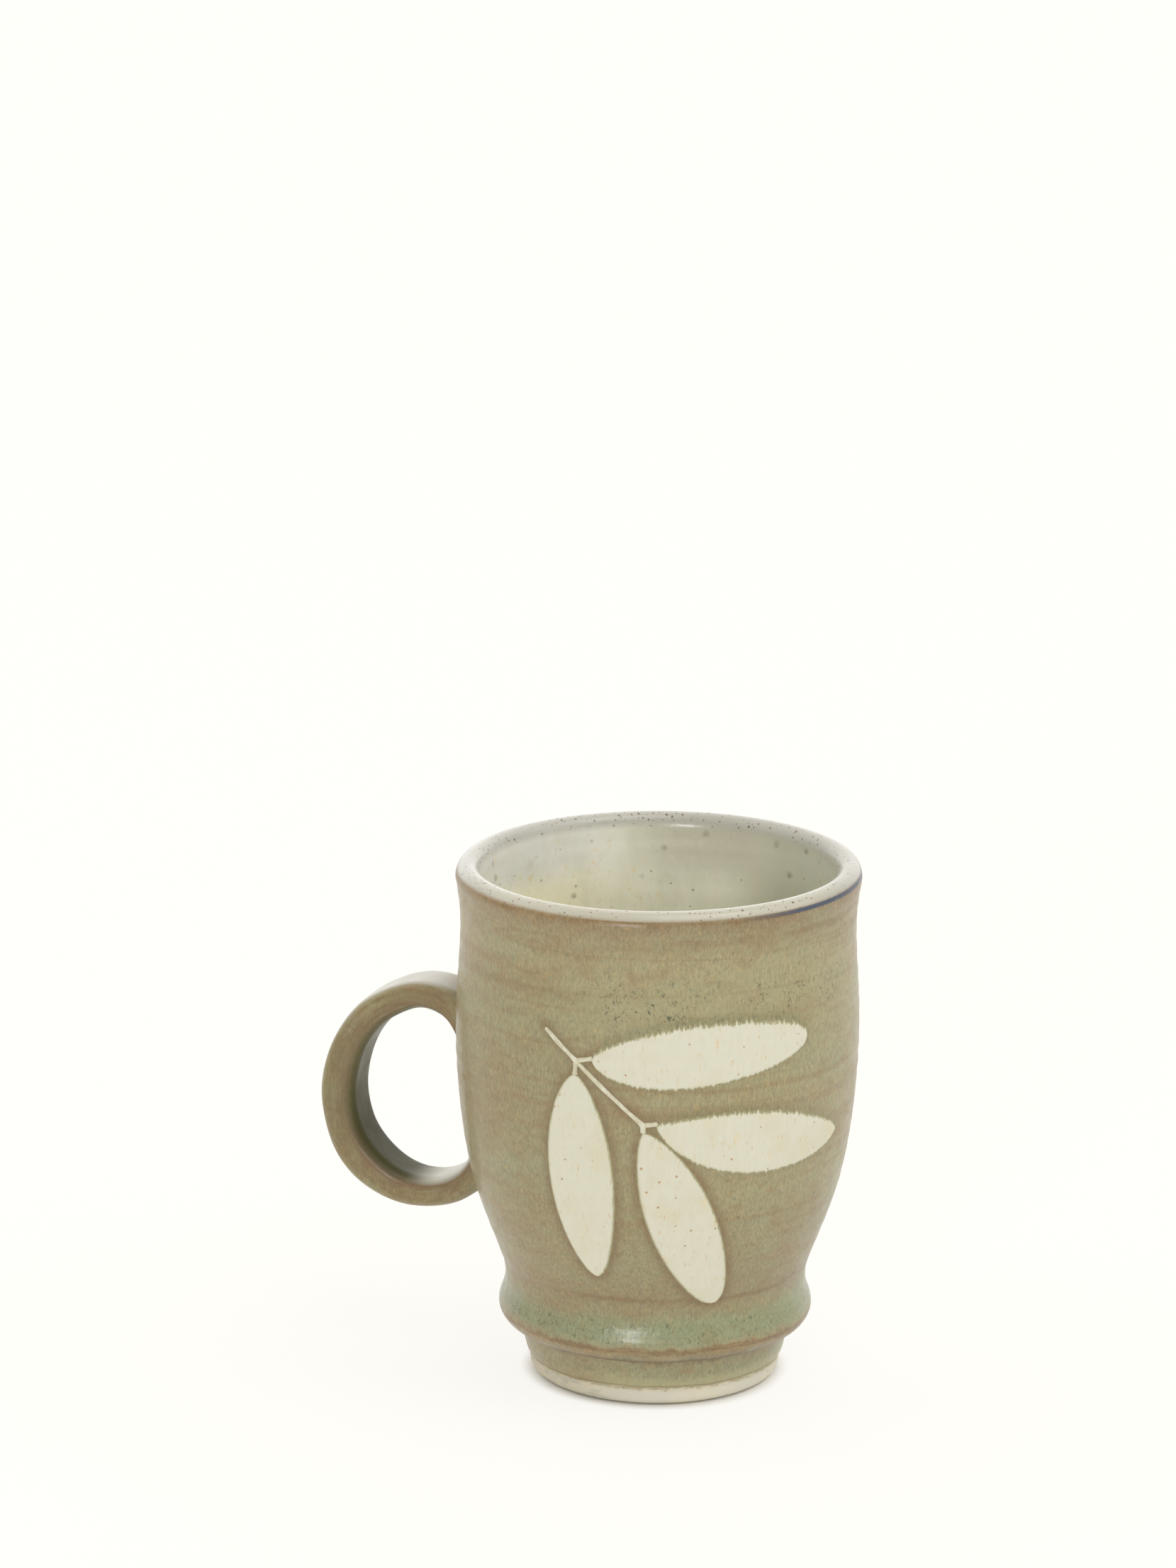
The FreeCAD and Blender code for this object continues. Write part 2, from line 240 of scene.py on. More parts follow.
def unevenness(angle, height):
    """Millimetres that the thrown wall stands out of its true round, at angle in radians."""
    out = np.zeros(np.broadcast(angle, height).shape)
    for lobes, twist, phase, size in WAVES:
        out = out + size * np.sin(lobes * angle + twist * height + phase)
    for pitch, phase, size in RINGS:
        # the rings climb one pitch per turn, as the potter's fingers do
        out = out + size * np.sin(pitch * height + angle + phase)
    return (out - 0.12) * np.clip((height - 8) / 20, 0.15, 1)


def tilted(x, y, z):
    lean = x * cos(radians(TILT_HEADING)) + y * sin(radians(TILT_HEADING))
    return z + RIM_TILT * (lean - TILT_REACH) * (z / MUG_HEIGHT)


def round_axis(radius, angle, height):
    """Points at these radii, angles in radians and heights, with the rim's tilt."""
    x, y = radius * np.sin(angle), -radius * np.cos(angle)
    return np.stack([x, y, tilted(x, y, height)], -1)


# ======== meshes
def new_piece(name, verts, faces):
    """A mesh object from millimetre vertices, in the frame's metres."""
    mesh = bpy.data.meshes.new(name)
    mesh.from_pydata((np.asarray(verts) * MM).tolist(), [], faces)
    mesh.polygons.foreach_set("use_smooth", [True] * len(mesh.polygons))
    mesh.update()
    obj = bpy.data.objects.new(name, mesh)
    scene.collection.objects.link(obj)
    return obj


def grid_faces(rows, columns, wrap_rows, wrap_columns):
    """Quads of a grid of rows by columns, closed round either way."""
    r = np.arange(rows if wrap_rows else rows - 1)
    c = np.arange(columns if wrap_columns else columns - 1)
    r, c = np.meshgrid(r, c, indexing="ij")
    r1, c1 = (r + 1) % rows, (c + 1) % columns
    quads = np.stack([r * columns + c, r * columns + c1, r1 * columns + c1, r1 * columns + c], -1)
    return quads.reshape(-1, 4).tolist()


def tube_faces(rows, turns):
    """Quads round a tube of rows rings of turns vertices, and a cap on each end."""
    last = (rows - 1) * turns
    return (grid_faces(rows, turns, False, True) + [list(range(turns))]
            + [[last + i for i in reversed(range(turns))]])


def set_values(obj, name, values):
    """Stores one number per vertex, for a material to read."""
    layer = obj.data.attributes.new(name, "FLOAT", "POINT")
    layer.data.foreach_set("value", np.asarray(values, np.float32).ravel())


def weld(obj, distance=0.00002):
    """Joins vertices that fell on one another, as at a leaf's two ends, and drops flat faces."""
    bm = bmesh.new()
    bm.from_mesh(obj.data)
    bmesh.ops.remove_doubles(bm, verts=bm.verts, dist=distance)
    bmesh.ops.dissolve_degenerate(bm, dist=distance / 4, edges=bm.edges)
    bmesh.ops.recalc_face_normals(bm, faces=bm.faces)
    bm.to_mesh(obj.data)
    bm.free()
    obj.data.update()


def column_angles(columns):
    """Angles round the cup in radians, closer together on the sprig's side."""
    even = np.linspace(0, 2 * pi, columns, endpoint=False)
    return even - 0.45 * np.sin(even - radians(30))


def turned_verts(line, columns):
    """Vertices of a (radius, height) line turned round the axis, with a thrown wall's unevenness."""
    angle = column_angles(columns)[None, :]
    radius, height = line[:, 0][:, None], line[:, 1][:, None]
    radius = radius + unevenness(angle, height) * np.clip(radius / EVEN_WITHIN, 0, 1)
    return round_axis(radius, angle, height + 0 * angle).reshape(-1, 3)


def lathe_solid(name, line, columns):
    """A turned solid whose profile starts and ends on the axis."""
    verts = turned_verts(line[1:-1], columns)
    faces = grid_faces(len(line) - 2, columns, False, True)
    first_end, last_ring = len(verts), len(verts) - columns
    verts = np.concatenate([verts, [(0, 0, line[0][1]), (0, 0, line[-1][1])]])
    for c in range(columns):
        after = (c + 1) % columns
        faces += [[first_end, after, c], [last_ring + c, last_ring + after, first_end + 1]]
    return new_piece(name, verts, faces)


# ======== the sprig's outline
def flat_place(angle, height, facing):
    return (float(wall_radius(height)) * sin(radians(angle - facing)), height)


def leaf_side(base, tip, belly, full, bluntness, point, spans):
    """Places along one side of a leaf; a positive belly swells to the left of the way."""
    share = (1 - np.cos(pi * np.arange(spans + 1) / spans)) / 2
    crest_moved = share ** (log(0.5) / log(full))
    swell = belly * np.clip(np.sin(pi * crest_moved), 0, 1) ** (bluntness + 0.08 + point * share)
    swell[0] = swell[-1] = 0
    length = hypot(tip[0] - base[0], tip[1] - base[1])
    ax, az = (tip[0] - base[0]) / length, (tip[1] - base[1]) / length
    return np.stack([base[0] + ax * length * share - az * swell,
                     base[1] + az * length * share + ax * swell], 1)


def leaf_sides(name, spans):
    """Both sides of a leaf in its flat plane, and the angle that the plane faces."""
    base, tip, left, right, bluntness = LEAVES[name]
    point = TIP_POINT.get(name, PLAIN_TIP)
    facing = (base[0] + tip[0]) / 2
    flat_base, flat_tip = flat_place(*base, facing), flat_place(*tip, facing)
    return (leaf_side(flat_base, flat_tip, left[0], left[1], bluntness, point, spans),
            leaf_side(flat_base, flat_tip, -right[0], right[1], bluntness, point, spans), facing)


def on_wall(x, z, facing, proud):
    """The wall's point seen at x across and z up when facing it, proud of the glaze."""
    radius = wall_radius(z)
    angle = np.radians(facing) + np.arcsin(np.clip(x / radius, -1, 1))
    return round_axis(radius + unevenness(angle, z) + proud, angle, z)


def comb(spacing, sharpness):
    """(places, heights) of an uneven row of teeth, 140 mm long."""
    count = int(140 / spacing)
    heights = RANDOM.uniform(0, 1, count) ** sharpness
    heights[::2] = 0
    return (np.arange(count) + RANDOM.uniform(-0.3, 0.3, count)) * spacing - 70, heights


COARSE_TEETH, FINE_TEETH = comb(0.55, 1.6), comb(0.23, 1.2)


def bristle(x):
    return np.interp(x, *COARSE_TEETH) + 0.5 * np.interp(x, *FINE_TEETH) - 0.45


def leaf_mesh(name, columns=560, rows=40):
    """A leaf as a low pillow on the wall, with a rolled edge that its glaze frays upright."""
    left, right, facing = leaf_sides(name, columns)
    across = np.sin(np.linspace(-pi / 2, pi / 2, rows))
    mix = ((across + 1) / 2)[:, None, None]
    flat = left[None] * (1 - mix) + right[None] * mix
    x, z = flat[..., 0], flat[..., 1]
    width = np.linalg.norm(left - right, axis=1)[None, :]
    inward = (1 - np.abs(across))[:, None] * width / 2
    fray = np.clip(1 - inward / 1.6, 0, 1) * np.clip(width / 3, 0, 1)
    on_left = across[:, None] < 0
    up = np.where(left[:, 1] > right[:, 1], 1, -1)[None, :] * np.where(on_left, 1, -1)
    reach = np.where(on_left, FRINGE[name][0], FRINGE[name][1])
    z = z + up * reach * bristle(x + 31 * up) * fray
    rolled = np.clip(inward / 1.1, 0, 1)
    proud = LEAF_RELIEF * rolled * (2 - rolled) + 0.025 * np.sin(1.3 * x + 0.4 * z) * rolled
    top = on_wall(x, z, facing, proud + 0.02)
    under = on_wall(x, z, facing, -LEAF_DEPTH)
    verts = np.concatenate([top.reshape(-1, 3), under.reshape(-1, 3)])
    count = rows * (columns + 1)
    faces = grid_faces(rows, columns + 1, False, False)
    faces = [q[::-1] for q in faces] + [[v + count for v in q] for q in faces]
    for first, way in ((0, 1), (count - columns - 1, -1)):
        for a in range(first, first + columns):
            faces.append([a, a + 1, a + 1 + count, a + count][::way])
    piece = new_piece(name, verts, faces)
    frayed = (0.16 + 0.55 * reach) * (1 - 0.45 * (up < 0)) + 0 * inward
    set_values(piece, "inward", np.tile(inward.ravel(), 2))
    set_values(piece, "frayed", np.tile(frayed.ravel(), 2))
    weld(piece)
    return piece


def wall_way(start, end):
    """Millimetres across, up and in all between two (angle, height) places on the wall."""
    across, up = radians(end[0] - start[0]) * SPRIG_RADIUS, end[1] - start[1]
    return across, up, hypot(across, up)


def wall_places(start, end, step):
    """(angle, height) places on a straight way over the wall, step apart."""
    share = np.linspace(0, 1, max(3, int(wall_way(start, end)[2] / step)))[:, None]
    return np.array(start) + (np.array(end) - start) * share


def ridge(start, end, width, proud, flares):
    """Vertices and faces of one raised line of slip with a rounded back, closed all round."""
    places = wall_places(start, end, 0.35)
    across, up, length = wall_way(start, end)
    share = np.linspace(0, 1, len(places))
    from_start, from_end = share * length, (1 - share) * length
    half = width / 2 * (1 + 0.1 * np.sin(9 * share + start[1]))
    half = half * (1 + flares[0] * np.exp(-from_start / FLARE_REACH)
                   + flares[1] * np.exp(-from_end / FLARE_REACH))
    ends = np.clip(np.minimum(from_start, from_end) / (width * 0.55), 0, 1)
    half = (half * np.sqrt(np.clip(ends * (2 - ends), 0.02, 1)))[:, None]
    around = np.linspace(0, 2 * pi, STEM_TURNS, endpoint=False)[None, :]
    side = np.cos(around) * half
    height = places[:, 1:] + side * across / length
    angle = np.radians(places[:, :1]) - side * up / length / SPRIG_RADIUS
    back = np.sin(around)
    lift = np.where(back > 0, proud * back * np.minimum(1, half / (width / 2)), 0.25 * back)
    radius = wall_radius(height) + unevenness(angle, height) + lift
    return round_axis(radius, angle, height).reshape(-1, 3), tube_faces(len(places), STEM_TURNS)


def stem_mesh():
    verts, faces = np.zeros((0, 3)), []
    for i, ((start, end), flares) in enumerate(zip(STEM_LINES, STEM_FLARES)):
        way = (np.array(end) - start) / wall_way(start, end)[2]
        # the lines run a little into the forks and leaves that they meet
        before, after = (0 if i == 0 else 0.45), (0.45 if i < 2 else 0.35)
        wide = 0.95 if i < 2 else 0.9
        line, quads = ridge(start - way * before, end + way * after, STEM_WIDTH * wide, 0.5, flares)
        faces += [[index + len(verts) for index in quad] for quad in quads]
        verts = np.concatenate([verts, line])
    piece = new_piece("leaf_stem", verts, faces)
    weld(piece, 0.000001)
    return piece


# ======== the handle
def rounded_section(half_x, half_y, corner, turns):
    """turns points evenly round a rounded rectangle."""
    flat_x, flat_y = half_x - corner, half_y - corner
    sides = [2 * flat_y, corner * pi / 2, 2 * flat_x, corner * pi / 2] * 2
    marks = np.concatenate([[0], np.cumsum(sides)])
    centres = [(flat_x, -flat_y), (flat_x, flat_y), (-flat_x, flat_y), (-flat_x, -flat_y)]
    points = []
    for s in np.linspace(0, marks[-1], turns, endpoint=False):
        i = int(np.searchsorted(marks, s, side="right")) - 1
        share, turn = (s - marks[i]) / max(sides[i], 1e-9), (i // 2) * pi / 2
        (x0, y0), (x1, y1) = centres[i // 2], centres[(i // 2 + 1) % 4]
        if i % 2 == 1:           # round the corner at the side's end
            turn, share = turn + share * pi / 2, 1
        points.append((x0 + (x1 - x0) * share + corner * cos(turn),
                       y0 + (y1 - y0) * share + corner * sin(turn)))
    return points


def strap_mesh(name, inset, steps, turns):
    """The strap, inset below its finished surface, as rounded sections from row to row."""
    knots = np.arange(len(STRAP_ROWS), dtype=float)
    count = (len(knots) - 1) * steps + 1
    rows = natural_spline(np.array(STRAP_ROWS).reshape(-1, 4), knots,
                          np.linspace(0, knots[-1], count))
    outer, inner = rows[:, :2], rows[:, 2:]
    middle = (outer + inner) / 2
    thick = np.linalg.norm(inner - outer, axis=1)
    inward = (inner - outer) / thick[:, None]
    travel = np.linspace(0, 1, count)
    pulled = 0.1 + 0.06 * np.sin(23 * travel + 1) + 0.04 * np.sin(51 * travel)
    at_root = np.exp(-np.minimum(travel, 1 - travel) / 0.035)
    verts, facing = [], []
    for k in range(count):
        half = thick[k] / 2 - inset
        wide = STRAP_WIDTH / 2 - inset + 0.1 * sin(14 * travel[k]) + 0.5 * at_root[k]
        corner = STRAP_EDGE_ROUND - inset + 0.15 * sin(9 * travel[k])
        for s, side in rounded_section(half, wide, corner, turns):
            # both broad sides are a little crowned, as a pulled strap's are
            crown = 0.12 * (side / wide) ** 2 * s / half
            side = side * (1 - 0.09 * max(s / half, 0) ** 2)
            place = middle[k] + inward[k] * (s - crown + pulled[k])
            # the clay is smeared out on to the wall, so the strap widens as it meets it
            clear = hypot(place[0], side) - float(wall_radius(place[1]))
            smear = ROOT_SMEAR * np.exp(-max(clear, -0.4) / ROOT_SMEAR_REACH) * side / wide
            verts.append((-place[0], side + smear + 0.1 * sin(7 * travel[k]), place[1]))
            facing.append(0.5 + s / (2 * half))
    piece = new_piece(name, verts, tube_faces(count, turns))
    set_values(piece, "inner", facing)
    set_values(piece, "travel", np.repeat(travel, turns))
    weld(piece, 0.000001)
    return piece


def slip_mound(name, place):
    """The slip round a strap's root: a low mound, hidden under the glaze."""
    rings, turns = 24, 48
    polar = np.linspace(0, pi, rings + 1)[1:-1, None]
    around = np.linspace(0, 2 * pi, turns, endpoint=False)
    deep, wide, high = SLIP_RADII
    verts = np.stack([-place[0] + deep * np.cos(polar) + 0 * around,
                      wide * np.sin(polar) * np.cos(around),
                      place[1] + high * np.sin(polar) * np.sin(around)], -1).reshape(-1, 3)
    return new_piece(name, verts, tube_faces(rings - 1, turns))


# ======== materials
def srgb(r, g, b):
    """A screen colour, 0 to 255, as the linear colour that a shader takes."""
    def linear(v):
        v /= 255
        return v / 12.92 if v <= 0.04045 else ((v + 0.055) / 1.055) ** 2.4
    return (linear(r), linear(g), linear(b), 1)


class Paint:
    """One material's node graph, built with short calls. colour holds the coats laid so far."""

    def __init__(self, name):
        self.material = bpy.data.materials.new(name)
        self.material.use_nodes = True
        self.nodes = self.material.node_tree.nodes
        self.links = self.material.node_tree.links
        self.shader = self.nodes["Principled BSDF"]
        self.place = self.nodes.new("ShaderNodeTexCoord").outputs["Object"]
        self.colour = None

    # ---- plain nodes
    def put(self, socket, value):
        if isinstance(value, bpy.types.NodeSocket):
            self.links.new(value, socket)
        else:
            socket.default_value = value

    def node(self, kind, *values, **named):
        """A node of this kind, with values or links on its first and its named inputs."""
        node = self.nodes.new("ShaderNode" + kind)
        for key, value in (*enumerate(values), *named.items()):
            self.put(node.inputs[key], value)
        return node

    def math(self, operation, *values):
        node = self.node("Math", *values)
        node.operation = operation
        return node.outputs[0]

    def times(self, first, *others):
        for other in others:
            first = self.math("MULTIPLY", first, other)
        return first

    def plus(self, a, b):
        return self.math("ADD", a, b)

    def between(self, value, low, high, to_low=0, to_high=1):
        """value mapped from low..high to to_low..to_high, smoothly and held at the ends."""
        node = self.node("MapRange", value, low, high, to_low, to_high)
        node.interpolation_type = "SMOOTHSTEP"
        return node.outputs["Result"]

    def window(self, value, rise, full, fade, gone):
        """0 below rise, 1 from full to fade, 0 again above gone."""
        return self.times(self.between(value, rise, full), self.between(value, gone, fade))

    def mix(self, share, a, b, blend="MIX"):
        """Colour a going over to b by share; the colours are inputs 6 and 7."""
        node = self.node("Mix", share)
        node.data_type = "RGBA"
        node.blend_type = blend
        self.put(node.inputs[6], a)
        self.put(node.inputs[7], b)
        return node.outputs[2]

    # ---- where a point is
    def scaled(self, across, up, shift):
        """The place with its millimetres times across (x and y) and up, to stretch a pattern."""
        return self.node("Mapping", self.place, Scale=(across / MM, across / MM, up / MM),
                         Location=(shift, shift * 0.7, shift * 1.3)).outputs["Vector"]

    def millimetres(self, *axes):
        parts = self.node("SeparateXYZ", self.place).outputs
        return [self.times(parts[axis], 1 / MM) for axis in axes]

    def height(self):
        return self.millimetres("Z")[0]

    def angle(self):
        """Degrees round the cup from -Y towards +X."""
        x, y = self.millimetres("X", "Y")
        return self.times(self.math("ARCTAN2", x, self.times(y, -1)), 180 / pi)

    def radius(self):
        x, y = self.millimetres("X", "Y")
        return self.math("SQRT", self.plus(self.times(x, x), self.times(y, y)))

    def stored(self, name):
        node = self.node("Attribute")
        node.attribute_name = name
        return node.outputs["Fac"]

    # ---- patterns
    def noise_at(self, where, detail, roughness=0.55, distortion=0):
        return self.node("TexNoise", Vector=where, Scale=1, Detail=detail, Roughness=roughness,
                         Distortion=distortion).outputs["Fac"]

    def noise(self, across, up, shift, detail=3, roughness=0.55, distortion=0):
        """Noise with features about 1 / across mm wide and 1 / up mm high."""
        return self.noise_at(self.scaled(across, up, shift), detail, roughness, distortion)

    def specks(self, size, pitch, share, seed, fuzz=0.5):
        """1 inside round specks of this radius, about pitch apart, in a share of the places."""
        cells = self.node("TexVoronoi", Vector=self.scaled(1 / pitch, 1 / pitch, seed), Scale=1)
        chosen = self.noise(0.9 / pitch, 0.9 / pitch, seed + 3.3, 2)
        spread = self.noise(0.31 / size, 0.31 / size, seed + 1.1, 2)
        edge = self.times(self.between(spread, 0.2, 0.8, 0.3, 1.5), size / pitch)
        dot = self.between(cells.outputs["Distance"], edge, self.times(edge, 1 - fuzz))
        return self.times(dot, self.between(chosen, 0.62 - 0.24 * share, 0.66 - 0.24 * share))

    # ---- coats
    def ground(self, share, first, second):
        """Starts the colour as one tint going over to another by share."""
        self.colour = self.mix(share, srgb(*first), srgb(*second))

    def ramp(self, value, stops):
        """Starts the colour by value: stops are (value, tint), in order."""
        low, high = stops[0][0], stops[-1][0]
        share = self.node("MapRange", value, low, high, 0, 1).outputs["Result"]
        node = self.node("ValToRGB", share)
        node.color_ramp.interpolation = "EASE"
        elements = node.color_ramp.elements
        while len(elements) < len(stops):
            elements.new(0.5)
        for element, (at, tint) in zip(elements, stops):
            element.position = (at - low) / (high - low)
            element.color = srgb(*tint)
        self.colour = node.outputs["Color"]

    def lay(self, tint, amount, *shares):
        """Lays a tint over the colour, as strongly as amount times every share.

        A share of three values is a call of between, and one of five a call of window.
        """
        kinds = {3: self.between, 5: self.window}
        shares = [kinds[len(s)](*s) if isinstance(s, tuple) else s for s in shares]
        self.colour = self.mix(self.times(*shares, amount), self.colour, srgb(*tint))

    def bump(self, height, distance, strength):
        """height is in millimetres times distance; the result feeds the shader's normal."""
        node = self.node("Bump", Distance=distance * MM, Strength=strength, Height=height)
        self.links.new(node.outputs["Normal"], self.shader.inputs["Normal"])

    def finish(self, roughness, specular, coat=0):
        for name, value in (("Base Color", self.colour), ("Roughness", roughness),
                            ("Coat Weight", coat), ("Coat Roughness", 0.18),
                            ("Specular IOR Level", specular)):
            self.put(self.shader.inputs[name], value)
        return self.material


# the olive glaze up the wall, with its brown bands; from the bead up to the lip it is painted
# slightly darker towards the bottom, as painted shade
OLIVE_BY_HEIGHT = [
    (3.9, (140, 116, 78)), (4.6, (146, 126, 90)), (5.4, (152, 142, 104)), (7.6, (148, 144, 107)),
    (9.6, (149, 140, 105)), (11.2, (131, 115, 84)), (12.8, (131, 114, 83)), (13.7, (141, 119, 84)),
    (14.5, (154, 131, 92)), (15.5, (150, 144, 108)), (17.5, (149, 152, 118)),
    (20.3, (147, 147, 110)), (23, (150, 140, 104)), (24.6, (146, 132, 97)),
    (25.3, (141, 123, 88)), (26.2, (147, 133, 98)), (30, (150, 140, 104)),
    (40, (150, 140, 103)), (55, (153, 144, 107)), (75, (153, 143, 106)),
    (87, (155, 146, 108)), (93, (155, 145, 107)), (98, (161, 150, 112)),
    (101.5, (160, 148, 110)), (104.2, (153, 139, 104)), (105.6, (156, 144, 108)),
    (107.2, (151, 135, 101)), (108.9, (147, 128, 95)), (109.6, (134, 108, 70)),
    (110.3, (140, 112, 72)),
]
GREENISH = (152, 152, 118)
BROWNISH = (146, 122, 84)
OCHRE = (178, 152, 100)
COOL_GREEN = (146, 148, 118)
IRON = (116, 84, 50)
MOSS = (80, 86, 62)
COBALT = (58, 72, 94)
# broken brown rings: height, half width, first and last angle, strength
BROWN_RINGS = [
    (105.2, 1.1, 12, 130, 0.55), (102.4, 0.7, 40, 150, 0.35),
    (97.6, 1.5, -80, -18, 0.28), (92.6, 1.5, -75, 6, 0.38),
    (87.6, 2, -80, -12, 0.32), (48.5, 1.3, -70, -25, 0.25),
    (25.4, 0.75, -20, 120, 0.55), (21.6, 0.9, -160, -20, 0.25),
]


def mottled(paint, strength):
    """Clouds the colour with soft green and brown patches, then with fine upright strokes."""
    clouds = paint.noise(0.055, 0.085, 3.1, 4)
    patches = paint.noise(0.2, 0.34, 7.7, 5, 0.65)
    flecks = paint.noise(0.75, 0.6, 1.9, 4, 0.7)
    cool = paint.noise(0.6, 0.45, 6.6, 4, 0.7)
    rings = paint.noise(0.012, 0.5, 5.3, 4, 0.65)
    strokes = paint.noise(2.4, 0.8, 4.1, 4, 0.7)
    for pattern, none, most, amount, tint in (
            (clouds, 0.46, 0.7, 0.45, GREENISH), (clouds, 0.52, 0.3, 0.35, BROWNISH),
            (patches, 0.5, 0.72, 0.6, BROWNISH), (patches, 0.46, 0.26, 0.55, GREENISH),
            (rings, 0.53, 0.66, 0.45, BROWNISH), (flecks, 0.54, 0.72, 0.5, OCHRE),
            (cool, 0.54, 0.72, 0.45, COOL_GREEN)):
        paint.lay(tint, amount * strength, (pattern, none, most))
    shade = paint.between(strokes, 0.28, 0.72, 0.79, 1.18)
    paint.colour = paint.mix(1, paint.colour, shade, "MULTIPLY")
    return strokes


def brown_rings(paint, height, angle):
    """Broken rings under the lip, above the sprig and in the crease over the bead."""
    broken = paint.noise(0.028, 0.3, 8.8)
    for place, wide, first, last, amount in BROWN_RINGS:
        ring = paint.window(height, place - wide, place - wide * 0.3,
                            place + wide * 0.3, place + wide)
        arc = paint.window(angle, first, first + 18, last - 18, last)
        paint.lay((132, 108, 72), amount, ring, arc, paint.between(broken, 0.36, 0.58, 0.15, 1))


def bead_edge(paint, height):
    """Brown gathers in the crease under the bead, darkened further by painted shadow, and breaks
    along the bead's lower edge.
    """
    ragged = paint.noise(0.35, 1.6, 2.9, 4, 0.7)
    broad = paint.noise(0.14, 1.1, 7.3, 4, 0.7)
    # the dark crease under the bead: brown glaze gathered there, darkened further as painted shadow
    # of the bead's overhang
    paint.lay((100, 78, 50), 0.78, (height, 10.3, 10.9, 11.7, 12.6),
              paint.between(ragged, 0.3, 0.6, 0.45, 1))
    paint.lay((114, 86, 54), 0.62, (height, 13.5, 14, 14.6, 15.3),
              paint.between(broad, 0.38, 0.58, 0.15, 1))
    paint.lay((168, 142, 96), 0.4, (height, 12.4, 12.9, 13.6, 14.2),
              paint.between(broad, 0.58, 0.4, 0.1, 1))


def mossy_drifts(paint, height, angle, bead):
    """The green over the upper leaf and round the bead, with its dark crazed grit."""
    drift = paint.times(paint.window(height, 84, 90, 93, 102),
                        paint.window(angle, -22, 8, 72, 96))
    foot = paint.window(height, 4.9, 5.8, 7.2, 9)
    paint.lay((166, 160, 120), 0.35, drift)
    paint.lay((142, 152, 118), 0.3, bead)
    grit = paint.noise(1.5, 1, 9.1, 4, 0.75, 0.8)
    areas = paint.noise(0.16, 0.22, 1.4, 2)
    where = 0.3
    for area in (drift, paint.times(bead, 0.85), paint.times(foot, 0.45)):
        where = paint.math("MAXIMUM", area, where)
    paint.lay(MOSS, 1, (grit, 0.545, 0.63), where, paint.between(areas, 0.34, 0.6, 0.35, 1))
    paint.lay((176, 172, 132), 0.48, (height, 3.8, 4.4, 6, 8), (angle, -30, 10, 130, 165))


def sprig_surround(paint):
    """Brown where the glaze draws back from the slip, and green bristles over the top edges."""
    fray = paint.noise(0.9, 0.45, 4.4)
    paint.lay((122, 97, 64), 0.66, paint.stored("halo"), paint.between(fray, 0.25, 0.6, 0.55, 1))
    fringe = paint.stored("fringe")
    hairs = paint.noise(2.6, 0.42, 0.4, 2, 0.7)
    paint.lay((136, 136, 98), 0.45, fringe)
    paint.lay((104, 104, 70), 0.6, (hairs, 0.5, 0.66), fringe)


def wall_glaze_paint():
    paint = Paint("olive_wall_glaze")
    true_height, angle = paint.height(), paint.angle()
    wander = paint.noise(0.11, 0.11, 2.2)
    jitter = paint.noise(1.1, 0.3, 6.2)
    shift = paint.plus(paint.between(wander, 0.3, 0.7, -0.45, 0.45),
                       paint.between(jitter, 0.3, 0.7, -0.28, 0.28))
    height = paint.plus(true_height, shift)
    paint.ramp(height, OLIVE_BY_HEIGHT)
    # the glaze is a little lighter and yellower away from the handle, and browner beside it
    paint.lay((169, 160, 121), 0.45, (angle, -15, 45, 120, 175), (true_height, 28, 60, 100, 108))
    paint.lay((144, 122, 84), 0.22, (angle, -170, -110, -45, 5))
    strokes = mottled(paint, 1)
    brown_rings(paint, height, angle)
    bead_edge(paint, height)
    bead = paint.window(height, 15, 16.4, 19.5, 22.4)
    mossy_drifts(paint, height, angle, bead)
    sprig_surround(paint)
    # cobalt has run along the underside of the lip, to the right
    paint.lay(COBALT, 0.9, (true_height, 109.15, 109.6, 110.1, 110.5), (angle, 34, 66, 112, 130))
    paint.lay(IRON, 0.6, paint.specks(0.28, 3.4, 0.5, 6))
    bumps = paint.noise(0.9, 0.7, 3, 3, 0.6)
    paint.bump(paint.plus(bumps, paint.times(strokes, 0.35)), 0.2, 0.6)
    rough = paint.between(paint.noise(0.3, 0.3, 2), 0.3, 0.7, 0.34, 0.46)
    # the bead's glaze is the shiniest
    rough = paint.plus(rough, paint.times(bead, -0.14))
    return paint.finish(rough, 0.42, coat=0.22)


